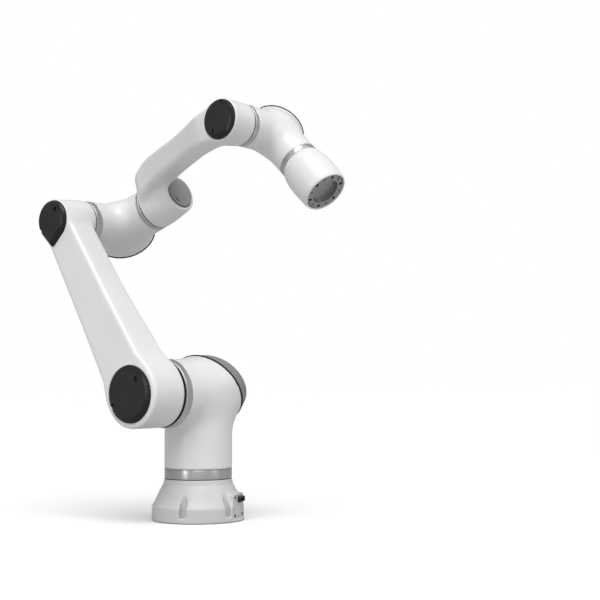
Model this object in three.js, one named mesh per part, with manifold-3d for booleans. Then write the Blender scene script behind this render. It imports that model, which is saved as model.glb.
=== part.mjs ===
// A six-axis collaborative robot arm on a round base, held in a raised, reaching pose.
// Millimetres, +Z up. The origin is the middle of the base's underside, on the turning axis of joint 1.
// The arm hangs in the XZ plane: the upper arm leans towards -X, the forearm reaches towards +X,
// and both are carried outboard, on the -Y side of the joint crossing points.
import * as THREE from 'three';
import { mergeVertices } from 'three/addons/utils/BufferGeometryUtils.js';
import Module from 'manifold-3d';

const wasm = await Module();
wasm.setup();

// ---- Driving dimensions ----------------------------------------------------------------------------

// Skeleton: distances between the joint crossing points.
const SHOULDER_HEIGHT = 233;
const UPPER_ARM_LENGTH = 380;
const FOREARM_LENGTH = 414;
const TOOL_FACE_DISTANCE = 164;

// Pose of the arm at rest, in degrees.
const UPPER_ARM_LEAN = 32.7;
const FOREARM_RISE = 20.4;
const FOREARM_TWIST = -2.3;
const WRIST_BEND = 64.5;

// General making sizes.
const GAP = 0.3;
const RUNNING_GAP = 1.2;
const WALL = 5;
const ROUND = 28;
const SMALL_ROUND = 16;
const SMALL_HOLE_ROUND = 12;

// The corner housings: each joins an inner joint (neck A) to an outer joint (neck B) at right angles.
// faceA and faceB are the distances from the crossing point to the ends of the two necks. The rear cover is
// bolted on at the seam, an oval on a sloping plane behind the crossing point: seamDistance behind it,
// seamShift further round towards neck A, seamRadius across and seamStretch times as long as it is wide.
const SHOULDER = {
  neck: 62.4, faceA: 137.5, faceB: 81, straightA: 76, straightB: 64, ringA: 18.5, ringB: 17,
  seamTilt: 30, seamDistance: 24.5, seamShift: 4.9, seamRadius: 80, seamStretch: 0.875, coverHeight: 36,
};
const ELBOW = {
  neck: 43, faceA: 90, faceB: 86.5, straightA: 52, straightB: 52, ringA: 15.5, ringB: 9.5,
  seamTilt: 49, seamDistance: 28, seamShift: -0.8, seamRadius: 51.6, seamStretch: 1.21, coverHeight: 24,
};
const WRIST = {
  neck: 37, faceA: 83, faceB: 75.8, straightA: 46, straightB: 46, ringA: 11, ringB: 9.7,
  seamTilt: 49, seamDistance: 30.8, seamShift: -0.3, seamRadius: 39.7, seamStretch: 1.26, coverHeight: 19,
};

const SEAM_TUCK = 0.5;
const GASKET_THICKNESS = 2.2;
// How far neck A's drive keeps from the crossing point, and how much the neck's bore narrows there.
const DRIVE_END = 0.92;
const BORE_STEP = 0.85;
const HORN_SIDES = 26;
const HORN_STEPS = 4;

// Base casting.
const BASE_RADIUS = 85;
const BASE_RIM_HEIGHT = 27;
const BASE_TOP = SHOULDER_HEIGHT - SHOULDER.faceA - SHOULDER.ringA - RUNNING_GAP;
const BASE_BORE = 55;
const BASE_TURN = 23;
const BOLT_POCKETS = 6;
const POCKET_CIRCLE = 78.5;
const POCKET_HALF_WIDTH = 6.3;
const POCKET_FLOOR = 10;
const POCKET_TOP = 56;
const BOLT_HOLE_RADIUS = 3.3;
const PANEL_FACE = 78.5;
const PANEL_WIDTH = 58;
const PANEL_MIDDLE = 27;
const PAD_HEIGHT = 46;
const PAD_ROOT = 58;
const CONNECTOR_HEIGHT = 39;
const CONNECTOR_OFFSET = 9;
const CONNECTOR_WIDTH = 28;

// Upper arm: a bar with a round boss at each end, from the joint faces out to the flat outer side.
const ARM_OUTER_FACE = 177;
const LOWER_BOSS = { radius: 61.3, capRadius: 51.2, inner: SHOULDER.faceB + SHOULDER.ringB + RUNNING_GAP };
const UPPER_BOSS = {
  radius: 43, endRadius: 38.8, capRadius: 37.2, inner: ELBOW.faceA + ELBOW.ringA + RUNNING_GAP,
};
const CAP_EDGE = 1.5;
const CAP_BEVEL = 9;
const SHOULDER_CAP_PROUD = 6;
const ELBOW_CAP_PROUD = 8;
const WRIST_CAP_PROUD = 6;
const END_CAP_PROUD = 1.5;
const CAP_SEAT = 6;
const TEARDROP_TIP = 51;

// Forearm: a can round the joint 4 axis, and a bar from its side out to the joint 5 boss.
const CAN_START = ELBOW.faceB + ELBOW.ringB + RUNNING_GAP;
const CAN_END = 165;
const CAN_CAP_RADIUS = 30.8;
const WRIST_BOSS = {
  radius: 37.3, capRadius: 34.8, inner: WRIST.faceA + WRIST.ringA + RUNNING_GAP, outer: 146.5,
};

// Tool flange.
const FLANGE_RADIUS = 36.6;
const FLANGE_RECESS_RADIUS = 25;
const FLANGE_RECESS_DEPTH = 9;
const FLANGE_HOLES = 12;
const FLANGE_HOLE_CIRCLE = 31.3;
const CAN_RIM_PROUD = 1.5;

// ---- Materials -------------------------------------------------------------------------------------

function material(color, roughness, metalness) {
  return () => new THREE.MeshStandardMaterial({ color, roughness, metalness });
}
const whitePaint = material(0xe9eaea, 0.38, 0.0);
const basePaint = material(0xdcdcdf, 0.45, 0.0);
const brushedRing = material(0xb9babb, 0.28, 1.0);
const darkPlastic = material(0x2f3033, 0.5, 0.0);
const greyPlastic = material(0x6f7072, 0.5, 0.0);
const blackRubber = material(0x131314, 0.75, 0.0);
const anodisedGrey = material(0x8d8e90, 0.4, 0.9);
const bareSteel = material(0xa2a5a8, 0.35, 1.0);
const motorBlack = material(0x232427, 0.55, 0.3);

// ---- Shaping helpers -------------------------------------------------------------------------------

function radians(degrees) {
  return THREE.MathUtils.degToRad(degrees);
}

// A closed geometry as a manifold solid, with its faces turned outwards.
function toManifold(geometry) {
  const bare = geometry.clone();
  bare.deleteAttribute('normal');
  bare.deleteAttribute('uv');
  const merged = mergeVertices(bare, 1e-4);
  const position = merged.attributes.position;
  const corners = merged.index.array;
  const triangles = [];
  let volume = 0;
  const a = new THREE.Vector3();
  const b = new THREE.Vector3();
  const c = new THREE.Vector3();
  for (let i = 0; i < corners.length; i += 3) {
    const [p, q, r] = [corners[i], corners[i + 1], corners[i + 2]];
    if (p === q || q === r || r === p) continue;
    a.fromBufferAttribute(position, p);
    b.fromBufferAttribute(position, q);
    c.fromBufferAttribute(position, r);
    volume += a.dot(b.cross(c));
    triangles.push([p, q, r]);
  }
  const ordered = volume > 0 ? triangles : triangles.map(([p, q, r]) => [p, r, q]);
  return new wasm.Manifold(new wasm.Mesh({
    numProp: 3,
    vertProperties: new Float32Array(position.array),
    triVerts: new Uint32Array(ordered.flat()),
  }));
}

function toGeometry(manifold) {
  const mesh = manifold.getMesh();
  const geometry = new THREE.BufferGeometry();
  geometry.setAttribute('position', new THREE.BufferAttribute(new Float32Array(mesh.vertProperties), 3));
  geometry.setIndex(new THREE.BufferAttribute(new Uint32Array(mesh.triVerts), 1));
  geometry.computeVertexNormals();
  return geometry;
}

function join(first, ...others) {
  return toGeometry(others.reduce((sum, next) => sum.add(toManifold(next)), toManifold(first)));
}

function cut(first, ...others) {
  return toGeometry(others.reduce((rest, next) => rest.subtract(toManifold(next)), toManifold(first)));
}

// A turned piece: [radius, height] corners round the Z axis. A profile that leaves the axis is closed.
function turned(profile, sides = ROUND) {
  const points = profile.map(([radius, height]) => new THREE.Vector2(radius, height));
  const onAxis = points[0].x === 0 && points[points.length - 1].x === 0;
  if (!onAxis) points.push(points[0].clone());
  return toGeometry(toManifold(new THREE.LatheGeometry(points, sides).rotateX(Math.PI / 2)));
}

function rod(radius, low, high, sides = ROUND) {
  return turned([[0, low], [radius, low], [radius, high], [0, high]], sides);
}

function ring(outer, inner, low, high, sides = ROUND) {
  return turned([[inner, low], [outer, low], [outer, high], [inner, high]], sides);
}

function block(width, depth, height, x, y, z) {
  return new THREE.BoxGeometry(width, depth, height).translate(x, y, z);
}

// Turns a piece made round +Z so that its height runs outboard, along -Y.
function outboard(geometry) {
  return geometry.rotateX(Math.PI / 2);
}

// Puts a round piece made along +Z on a corner housing's seam: stretched to the seam's oval, shifted along
// it, and turned so that its height runs along the seam's normal, up and back.
function alongSeam(spec, geometry) {
  return geometry.scale(1, spec.seamStretch, 1).translate(0, spec.seamShift, 0)
    .rotateX(-radians(90 - spec.seamTilt));
}

// A skin stretched over rings of points, closed by a fan at each end.
function skin(rings) {
  const count = rings[0].length;
  const points = rings.flat();
  const triangles = [];
  for (let level = 0; level + 1 < rings.length; level += 1) {
    for (let i = 0; i < count; i += 1) {
      const here = level * count + i;
      const next = level * count + (i + 1) % count;
      triangles.push(here, next, next + count, here, next + count, here + count);
    }
  }
  for (const end of [0, rings.length - 1]) {
    const middle = points.length;
    const total = new THREE.Vector3();
    rings[end].forEach((point) => total.add(point));
    points.push(total.divideScalar(count));
    for (let i = 0; i < count; i += 1) {
      const here = end * count + i;
      const next = end * count + (i + 1) % count;
      if (end === 0) triangles.push(middle, next, here);
      else triangles.push(middle, here, next);
    }
  }
  const geometry = new THREE.BufferGeometry().setFromPoints(points);
  geometry.setIndex(triangles);
  return geometry;
}

// The outline of a rounded rectangle, as [x, y] pairs, counter-clockwise.
function roundedOutline(halfX, halfY, radius, steps = 3) {
  const outline = [];
  for (let corner = 0; corner < 4; corner += 1) {
    const signX = corner === 0 || corner === 3 ? 1 : -1;
    const signY = corner < 2 ? 1 : -1;
    for (let i = 0; i <= steps; i += 1) {
      const angle = (corner + i / steps) * Math.PI / 2;
      const x = signX * (halfX - radius) + radius * Math.cos(angle);
      const y = signY * (halfY - radius) + radius * Math.sin(angle);
      outline.push([x, y]);
    }
  }
  return outline;
}

// A bar whose section changes along Z. Each station is [z, x, y, halfX, halfY, cornerRadius].
function bar(stations, inset = 0, samples = 7) {
  const middle = new THREE.CatmullRomCurve3(stations.map(([z, x, y]) => new THREE.Vector3(x, y, z)));
  const size = new THREE.CatmullRomCurve3(stations.map((s) => new THREE.Vector3(s[3], s[4], s[5])));
  const rings = [];
  for (let i = 0; i <= samples; i += 1) {
    const centre = middle.getPoint(i / samples);
    const half = size.getPoint(i / samples);
    const outline = roundedOutline(half.x - inset, half.y - inset, Math.max(half.z - inset, 1));
    rings.push(outline.map(([x, y]) => new THREE.Vector3(centre.x + x, centre.y + y, centre.z)));
  }
  return skin(rings);
}

// ---- Corner housings -------------------------------------------------------------------------------

// One horn of a corner housing: a round neck on -Z that opens, along smooth curves, to the seam's oval.
// tilt is how far the seam's plane leans from the neck's face, and shift is the oval's shift along that lean.
function horn(spec, neck) {
  const [sin, cos] = [Math.sin(neck.tilt), Math.cos(neck.tilt)];
  const seamY = spec.seamDistance * sin + neck.shift * cos;
  const seamZ = spec.seamDistance * cos - neck.shift * sin;
  const curves = Array.from({ length: HORN_SIDES }, (_, i) => {
    const angle = i / HORN_SIDES * Math.PI * 2;
    const along = spec.seamRadius * spec.seamStretch * Math.sin(angle);
    const foot = new THREE.Vector3(spec.neck * Math.cos(angle), spec.neck * Math.sin(angle), -neck.straight);
    const across = spec.seamRadius * Math.cos(angle);
    const rim = new THREE.Vector3(across, seamY + along * cos, seamZ - along * sin);
    const knee = new THREE.Vector3(foot.x, foot.y, (foot.z + rim.z) * 0.5);
    return new THREE.QuadraticBezierCurve3(foot, knee, rim);
  });
  const rings = [curves.map((curve) => curve.v0.clone().setZ(-neck.face))];
  for (let i = 0; i <= HORN_STEPS; i += 1) rings.push(curves.map((curve) => curve.getPoint(i / HORN_STEPS)));
  return skin(rings);
}

// Swaps the Y and Z directions, which turns a horn on neck A into the matching horn on neck B.
function swapNecks(geometry) {
  const swap = new THREE.Matrix4().set(1, 0, 0, 0, 0, 0, 1, 0, 0, 1, 0, 0, 0, 0, 0, 1);
  return geometry.applyMatrix4(swap);
}

// The two horns. At the seam the outer one is tucked just inside the inner one.
function bothHorns(spec) {
  const tiltA = radians(90 - spec.seamTilt);
  const tiltB = radians(spec.seamTilt);
  const neckA = { face: spec.faceA, straight: spec.straightA, tilt: tiltA, shift: spec.seamShift };
  const neckB = { face: spec.faceB, straight: spec.straightB, tilt: tiltB, shift: -spec.seamShift };
  const tucked = {
    ...spec,
    seamDistance: spec.seamDistance - SEAM_TUCK,
    seamRadius: spec.seamRadius - SEAM_TUCK,
  };
  return [horn(spec, neckA), swapNecks(horn(tucked, neckB))];
}

// The room inside: a bore down each neck, and a mouth that opens at the seam. Neck A's bore steps in past its
// drive, to leave a wall under the seam.
function cornerRoom(spec) {
  const bore = spec.neck - WALL;
  const mouth = spec.seamRadius - WALL;
  const high = spec.seamDistance;
  const step = -spec.neck * DRIVE_END;
  return join(
    rod(bore, -spec.faceA - 1, step),
    rod(bore * BORE_STEP, step - 1, 0),
    outboard(rod(bore, 0, spec.faceB + 1)),
    alongSeam(spec, turned([[0, 0], [bore * 0.8, 0], [mouth, high - 5], [mouth, high + 1], [0, high + 1]])),
  );
}

function cornerHousing(spec) {
  return cut(join(...bothHorns(spec)), cornerRoom(spec));
}

function seamGasket(spec) {
  const low = spec.seamDistance + GAP;
  return alongSeam(spec, ring(spec.seamRadius + 0.8, spec.seamRadius - WALL, low, low + GASKET_THICKNESS));
}

// The domed rear cover: a straight edge band, then a shoulder and a shallow crown.
function rearCover(spec) {
  const foot = spec.seamDistance + GASKET_THICKNESS + 2 * GAP;
  const r = spec.seamRadius - 0.6;
  const h = spec.coverHeight;
  const shell = 3;
  const crown = (radius, height) => [
    [radius, foot], [radius * 0.97, foot + height * 0.35], [radius * 0.78, foot + height * 0.8],
    [radius * 0.45, foot + height * 0.97], [0, foot + height],
  ];
  const outside = crown(r, h);
  const inside = crown(r - shell, h - shell).reverse();
  return alongSeam(spec, turned([...inside, ...outside]));
}

function trimRing(neck, low, length) {
  return ring(neck - GAP, neck - 7, low + GAP, low + length);
}

// ---- Joint drives ----------------------------------------------------------------------------------

// One joint's drive, stacked inwards from the neck's face: bearing, strain wave gear, motor, brake.
// depth is the room along the axis for the gear, motor and brake.
function driveParts(neck, face, ringLength, depth) {
  const bore = neck * 0.16;
  const fit = neck - WALL - 4;
  const gearLength = depth * 0.34;
  const motorLength = depth * 0.4;
  const brakeLength = depth - gearLength - motorLength - 2;
  const gearTop = face - 1;
  const motorTop = gearTop - gearLength - 1;
  const brakeTop = motorTop - motorLength - 1;
  return {
    bearing: ring(neck - 7.6, neck - 17, face + 1, face + ringLength - 1, SMALL_ROUND + 8),
    strain_wave_gear: turned([
      [bore, gearTop - gearLength], [fit - 4, gearTop - gearLength], [fit - 4, gearTop - gearLength * 0.45],
      [fit, gearTop - gearLength * 0.45], [fit, gearTop], [bore, gearTop],
    ], SMALL_ROUND),
    motor: turned([
      [bore, motorTop - motorLength], [fit - 3, motorTop - motorLength],
      [fit - 3, motorTop], [bore, motorTop],
    ], SMALL_ROUND),
    brake_and_encoder: turned([
      [bore, brakeTop - brakeLength], [fit - 9, brakeTop - brakeLength],
      [fit - 9, brakeTop], [bore, brakeTop],
    ], SMALL_ROUND),
  };
}

const driveMaterials = {
  bearing: bareSteel, strain_wave_gear: bareSteel, motor: motorBlack, brake_and_encoder: greyPlastic,
};

// ---- Base ------------------------------------------------------------------------------------------

function baseHousing() {
  const body = turned([
    [BASE_BORE, 0], [BASE_RADIUS - 1.5, 0], [BASE_RADIUS, 1.5], [BASE_RADIUS, BASE_RIM_HEIGHT - 3],
    [BASE_RADIUS - 1.4, BASE_RIM_HEIGHT + 1], [BASE_RADIUS - 8.5, BASE_RIM_HEIGHT + 14],
    [SHOULDER.neck + 1.8, BASE_TOP - 9], [SHOULDER.neck, BASE_TOP], [BASE_BORE, BASE_TOP],
  ], ROUND + 8);
  const padMiddle = (PANEL_FACE + PAD_ROOT) / 2;
  const pad = block(PANEL_FACE - PAD_ROOT, PANEL_WIDTH, PAD_HEIGHT, padMiddle, 0, PANEL_MIDDLE);
  const flat = block(20, PANEL_WIDTH + 8, PAD_HEIGHT, PANEL_FACE + 10, 0, PANEL_MIDDLE);
  const recess = block(6, PANEL_WIDTH - 8, PAD_HEIGHT - 8, PANEL_FACE, 0, PANEL_MIDDLE);
  const wireway = block(50, 32, 14, BASE_BORE + 6, CONNECTOR_OFFSET, CONNECTOR_HEIGHT);
  let casting = cut(join(body, pad), flat, recess, wireway);
  for (let i = 0; i < BOLT_POCKETS; i += 1) {
    const turn = radians(30 + i * 360 / BOLT_POCKETS);
    const tall = (POCKET_FLOOR + POCKET_TOP) / 2;
    const pocket = join(
      rod(POCKET_HALF_WIDTH, POCKET_FLOOR, POCKET_TOP, SMALL_HOLE_ROUND).translate(POCKET_CIRCLE, 0, 0),
      block(20, POCKET_HALF_WIDTH * 2, POCKET_TOP - POCKET_FLOOR, POCKET_CIRCLE + 10, 0, tall),
    ).rotateZ(turn);
    const bolt = rod(BOLT_HOLE_RADIUS, -1, POCKET_FLOOR + 1, SMALL_HOLE_ROUND)
      .translate(POCKET_CIRCLE, 0, 0)
      .rotateZ(turn);
    casting = cut(casting, pocket, bolt);
  }
  return casting;
}

function basePlate() {
  return rod(BASE_BORE - GAP, 0, 4);
}

function connectorPanel() {
  const plate = block(2.4, PANEL_WIDTH - 9, PAD_HEIGHT - 9, PANEL_FACE - 1.5, 0, PANEL_MIDDLE);
  const opening = block(20, CONNECTOR_WIDTH + 1, 11, PANEL_FACE, CONNECTOR_OFFSET, CONNECTOR_HEIGHT);
  return cut(plate, opening);
}

// The rectangular inlet for the lead to the controller, with its contact well open to the outside.
function cableConnector() {
  const body = block(14, CONNECTOR_WIDTH, 10, PANEL_FACE - 2, CONNECTOR_OFFSET, CONNECTOR_HEIGHT);
  const well = block(14, CONNECTOR_WIDTH - 5, 6, PANEL_FACE + 2, CONNECTOR_OFFSET, CONNECTOR_HEIGHT);
  return cut(body, well);
}

// ---- Upper arm -------------------------------------------------------------------------------------

// The round boss at a joint, from its inner face to its outer face, with a softened outer edge. It may
// taper to a smaller end.
function boss(radius, inner, outer, softness, end = radius) {
  const slight = softness * 0.3;
  return outboard(turned([
    [0, inner], [radius, inner], [radius, inner + 16], [end, outer - softness],
    [end - slight, outer - slight], [end - softness, outer], [0, outer],
  ]));
}

// The room inside a boss, with a wide mouth on the joint side and a smaller one under the cap.
function bossRoom(radius, inner, seat, mouth) {
  return outboard(turned([
    [0, inner - 1], [radius - 15, inner - 1], [radius - 15, inner + WALL], [radius - WALL, inner + WALL],
    [radius - WALL, seat - WALL], [mouth, seat - WALL], [mouth, seat + 1], [0, seat + 1],
  ]));
}

// A teardrop outline round the joint axis: a circle drawn out to one point at the given angle.
function teardropShape(radius, tip, angle) {
  const reach = Math.acos(radius / tip);
  const shape = new THREE.Shape();
  shape.absarc(0, 0, radius, angle + reach, angle - reach + Math.PI * 2, false);
  shape.lineTo(tip * Math.cos(angle), tip * Math.sin(angle));
  shape.closePath();
  return shape;
}

// A slab of the given outline, from one distance outboard to another. The outline's second axis is +Z.
function slab(shape, low, high, segments = 10) {
  const options = { depth: high - low, bevelEnabled: false, curveSegments: segments };
  return new THREE.ExtrudeGeometry(shape, options).translate(0, 0, low).applyMatrix4(
    new THREE.Matrix4().set(1, 0, 0, 0, 0, 0, -1, 0, 0, 1, 0, 0, 0, 0, 0, 1),
  );
}

// The teardrop's point hangs straight down when the arm is at rest.
const TEARDROP_ANGLE = radians(-90 - UPPER_ARM_LEAN);
const TEARDROP_SEGMENTS = 22;

const ARM_BAR = [
  // z, x, y, half width, half depth, corner radius
  [0, 0, -(ARM_OUTER_FACE + 101) / 2, 54, (ARM_OUTER_FACE - 101) / 2, 14],
  [95, 0, -(ARM_OUTER_FACE + 106) / 2, 48, (ARM_OUTER_FACE - 106) / 2, 14],
  [190, 0, -(ARM_OUTER_FACE + 114) / 2, 42.5, (ARM_OUTER_FACE - 114) / 2, 14],
  [285, 0, -(ARM_OUTER_FACE + 116) / 2, 38.5, (ARM_OUTER_FACE - 116) / 2, 13],
  [UPPER_ARM_LENGTH, 0, -(ARM_OUTER_FACE + 112) / 2, 31, (ARM_OUTER_FACE - 120) / 2, 14],
];

function upperArm() {
  const lower = LOWER_BOSS;
  const upper = UPPER_BOSS;
  const outside = join(
    bar(ARM_BAR),
    boss(lower.radius, lower.inner, ARM_OUTER_FACE + 1, 7),
    boss(upper.radius, upper.inner, ARM_OUTER_FACE, 1.5, upper.endRadius).translate(0, 0, UPPER_ARM_LENGTH),
  );
  const lowerSeat = ARM_OUTER_FACE + 1 - CAP_SEAT;
  const upperSeat = ARM_OUTER_FACE - CAP_SEAT;
  const room = bar(ARM_BAR, WALL);
  const below = block(200, 400, 80, 0, 0, -22);
  const above = block(200, 400, 80, 0, 0, UPPER_ARM_LENGTH + 28);
  const trimmedRoom = cut(room, below, above);
  const tip = TEARDROP_TIP + GAP;
  const upperOutline = teardropShape(upper.capRadius + GAP, tip, TEARDROP_ANGLE);
  return cut(
    outside,
    trimmedRoom,
    bossRoom(lower.radius, lower.inner, lowerSeat, 40),
    bossRoom(upper.endRadius, upper.inner, upperSeat, 26).translate(0, 0, UPPER_ARM_LENGTH),
    outboard(rod(lower.capRadius + GAP, lowerSeat, ARM_OUTER_FACE + 10)),
    slab(upperOutline, upperSeat, ARM_OUTER_FACE + 10).translate(0, 0, UPPER_ARM_LENGTH),
  );
}

// A round cap: a straight edge in its seat, a bevel, and a raised flat.
function roundCap(radius, seat, proud, bevel = CAP_BEVEL) {
  const top = seat + CAP_SEAT + proud;
  return turned([
    [0, seat + GAP], [radius, seat + GAP], [radius, top - proud + Math.min(CAP_EDGE, proud * 0.5)],
    [radius - bevel, top], [0, top],
  ]);
}

// The elbow's cap is a teardrop with the same bevel. Its outlines run from the seat out to the flat.
function elbowCap() {
  const seat = ARM_OUTER_FACE - CAP_SEAT + GAP;
  const top = ARM_OUTER_FACE + ELBOW_CAP_PROUD;
  const outline = (inset, height) => {
    const tip = TEARDROP_TIP - inset * 1.3;
    const shape = teardropShape(UPPER_BOSS.capRadius - inset, tip, TEARDROP_ANGLE);
    return shape.getPoints(TEARDROP_SEGMENTS).slice(0, -1).map((p) => new THREE.Vector3(p.x, -height, p.y));
  };
  return skin([outline(0, seat), outline(0, ARM_OUTER_FACE + CAP_EDGE), outline(CAP_BEVEL, top)]);
}

// ---- Forearm ---------------------------------------------------------------------------------------

// In the forearm's own frame +Z runs out along joint 4, -Y is outboard and -X is up.
const FOREARM_BAR = [
  // z, x, y, half height, half depth, corner radius
  [106, -27, -30, 25, 25, 16],
  [150, -36, -40, 26, 26, 15],
  [205, -34, -58, 24.5, 25.5, 14],
  [260, -26, -78, 23, 25, 13],
  [312, -18, -99, 24, 25, 13],
  [365, -8, -120, 29, 24, 12],
  [FOREARM_LENGTH, 0, -121.3, 33, 23, 12],
];

function forearm() {
  const r = ELBOW.neck;
  const can = turned([
    [0, CAN_START], [r, CAN_START], [r, CAN_START + 16], [r - 4.5, CAN_END - 9], [r - 6.5, CAN_END - 3],
    [CAN_CAP_RADIUS + 2, CAN_END], [0, CAN_END],
  ]);
  const canRoom = turned([
    [0, CAN_START - 1], [r - 15, CAN_START - 1], [r - 15, CAN_START + WALL], [r - WALL, CAN_START + WALL],
    [r - WALL, CAN_START + 16], [r - 4.5 - WALL, CAN_END - 11], [25, CAN_END - 11], [25, CAN_END + 1],
    [0, CAN_END + 1],
  ]);
  const { radius, capRadius, inner, outer } = WRIST_BOSS;
  const seat = outer - CAP_SEAT;
  const wristBoss = boss(radius, inner, outer, 2.5).translate(0, 0, FOREARM_LENGTH);
  const wristRoom = bossRoom(radius, inner, seat, 24).translate(0, 0, FOREARM_LENGTH);
  const barRoom = cut(
    bar(FOREARM_BAR, WALL), block(300, 400, 60, 0, 0, 84), block(300, 400, 60, 0, 0, FOREARM_LENGTH + 25),
  );
  return cut(
    join(bar(FOREARM_BAR), can, wristBoss),
    barRoom, canRoom, wristRoom,
    rod(CAN_CAP_RADIUS + GAP, CAN_END - CAP_SEAT, CAN_END + 10),
    outboard(rod(capRadius + GAP, seat, outer + 10)).translate(0, 0, FOREARM_LENGTH),
  );
}

// ---- Tool end --------------------------------------------------------------------------------------

const FLANGE_CAN_START = WRIST.faceB + WRIST.ringB + RUNNING_GAP;

function flangeHousing() {
  const start = FLANGE_CAN_START;
  const end = TOOL_FACE_DISTANCE + CAN_RIM_PROUD;
  return turned([
    [WRIST.neck - 15, start], [WRIST.neck, start], [40, start + 10], [42.4, start + 25],
    [43, start + 42], [42.3, end - 12], [40.8, end - 3], [39.3, end],
    [FLANGE_RADIUS + GAP, end], [FLANGE_RADIUS + GAP, end - 14],
    [43 - WALL - 2, end - 20], [43 - WALL, start + 42], [WRIST.neck - WALL, start + WALL],
    [WRIST.neck - 15, start + WALL],
  ]);
}

function toolFlange() {
  const face = TOOL_FACE_DISTANCE;
  const body = turned([
    [0, face - 20], [24, face - 20], [24, face - 13], [FLANGE_RADIUS, face - 13], [FLANGE_RADIUS, face - 0.8],
    [FLANGE_RADIUS - 0.8, face], [FLANGE_RECESS_RADIUS, face],
    [FLANGE_RECESS_RADIUS, face - FLANGE_RECESS_DEPTH], [0, face - FLANGE_RECESS_DEPTH],
  ]);
  const holes = Array.from({ length: FLANGE_HOLES }, (_, i) => {
    const large = i % 2 === 0;
    return rod(large ? 3 : 1.8, face - 9, face + 1, SMALL_HOLE_ROUND)
      .translate(FLANGE_HOLE_CIRCLE, 0, 0)
      .rotateZ(radians(i * 360 / FLANGE_HOLES + 15));
  });
  return cut(body, ...holes);
}

// ---- Assembly --------------------------------------------------------------------------------------

function piece(parent, name, geometry, makeMaterial) {
  const mesh = new THREE.Mesh(geometry, makeMaterial());
  mesh.name = name;
  parent.add(mesh);
  return mesh;
}

function branch(parent) {
  const group = new THREE.Group();
  parent.add(group);
  return group;
}

// A corner module: housing, gasket, rear cover, and the ring and drive of each of its two joints.
// Neck A points along -Z and neck B along -Y.
function cornerModule(parent, name, jointA, jointB, spec) {
  piece(parent, `${name}_housing`, cornerHousing(spec), whitePaint);
  piece(parent, `${name}_gasket`, seamGasket(spec), blackRubber);
  piece(parent, `${name}_rear_cover`, rearCover(spec), greyPlastic);
  const necks = [
    [jointA, spec.faceA, spec.ringA, spec.faceA - spec.neck * DRIVE_END, Math.PI],
    [jointB, spec.faceB, spec.ringB, spec.faceB * 0.95, Math.PI / 2],
  ];
  for (const [joint, face, length, depth, turn] of necks) {
    const neck = branch(parent);
    neck.rotation.x = turn;
    piece(neck, `${joint}_trim_ring`, trimRing(spec.neck, face, length), brushedRing);
    for (const [part, geometry] of Object.entries(driveParts(spec.neck, face, length, depth))) {
      piece(neck, `${joint}_${part}`, geometry, driveMaterials[part]);
    }
  }
}

const robot = new THREE.Group();

const base = branch(robot);
base.rotation.z = radians(BASE_TURN);
piece(base, 'base_housing', baseHousing(), basePaint);
piece(base, 'base_plate', basePlate(), anodisedGrey);
piece(base, 'connector_panel', connectorPanel(), anodisedGrey);
piece(base, 'cable_connector', cableConnector(), darkPlastic);

const shoulder = branch(robot);
shoulder.position.z = SHOULDER_HEIGHT;
cornerModule(shoulder, 'shoulder', 'joint1', 'joint2', SHOULDER);

const arm = branch(shoulder);
arm.rotation.y = radians(-UPPER_ARM_LEAN);
piece(arm, 'upper_arm', upperArm(), whitePaint);
const shoulderCap = roundCap(LOWER_BOSS.capRadius, ARM_OUTER_FACE + 1 - CAP_SEAT, SHOULDER_CAP_PROUD);
piece(arm, 'shoulder_cap', outboard(shoulderCap), darkPlastic);
const elbowCapMesh = piece(arm, 'elbow_cap', elbowCap(), darkPlastic);
elbowCapMesh.position.z = UPPER_ARM_LENGTH;

const reach = branch(arm);
reach.position.z = UPPER_ARM_LENGTH;
reach.rotation.y = radians(90 - FOREARM_RISE + UPPER_ARM_LEAN);
const elbow = branch(reach);
elbow.rotation.x = -Math.PI / 2;
cornerModule(elbow, 'elbow', 'joint3', 'joint4', ELBOW);

const lower = branch(reach);
lower.rotation.z = radians(FOREARM_TWIST);
piece(lower, 'forearm', forearm(), whitePaint);
const endCap = roundCap(CAN_CAP_RADIUS, CAN_END - CAP_SEAT, END_CAP_PROUD, 1);
piece(lower, 'forearm_end_cap', endCap, greyPlastic);
const wristCap = roundCap(WRIST_BOSS.capRadius, WRIST_BOSS.outer - CAP_SEAT, WRIST_CAP_PROUD);
const wristCapMesh = piece(lower, 'wrist_cap', outboard(wristCap), darkPlastic);
wristCapMesh.position.z = FOREARM_LENGTH;

const bend = branch(lower);
bend.position.z = FOREARM_LENGTH;
bend.rotation.y = radians(WRIST_BEND);
const wrist = branch(bend);
wrist.rotation.x = -Math.PI / 2;
cornerModule(wrist, 'wrist', 'joint5', 'joint6', WRIST);
piece(bend, 'flange_housing', flangeHousing(), whitePaint);
piece(bend, 'tool_flange', toolFlange(), anodisedGrey);

export default robot;
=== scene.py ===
"""Six-axis collaborative robot arm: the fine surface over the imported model. Lengths below are in millimetres,
in the frame of the piece they belong to, and each piece is placed in the CAD frame in metres."""
import math
import bmesh
import bpy
import numpy as np
from mathutils import Matrix, Vector
from mathutils.bvhtree import BVHTree


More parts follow.
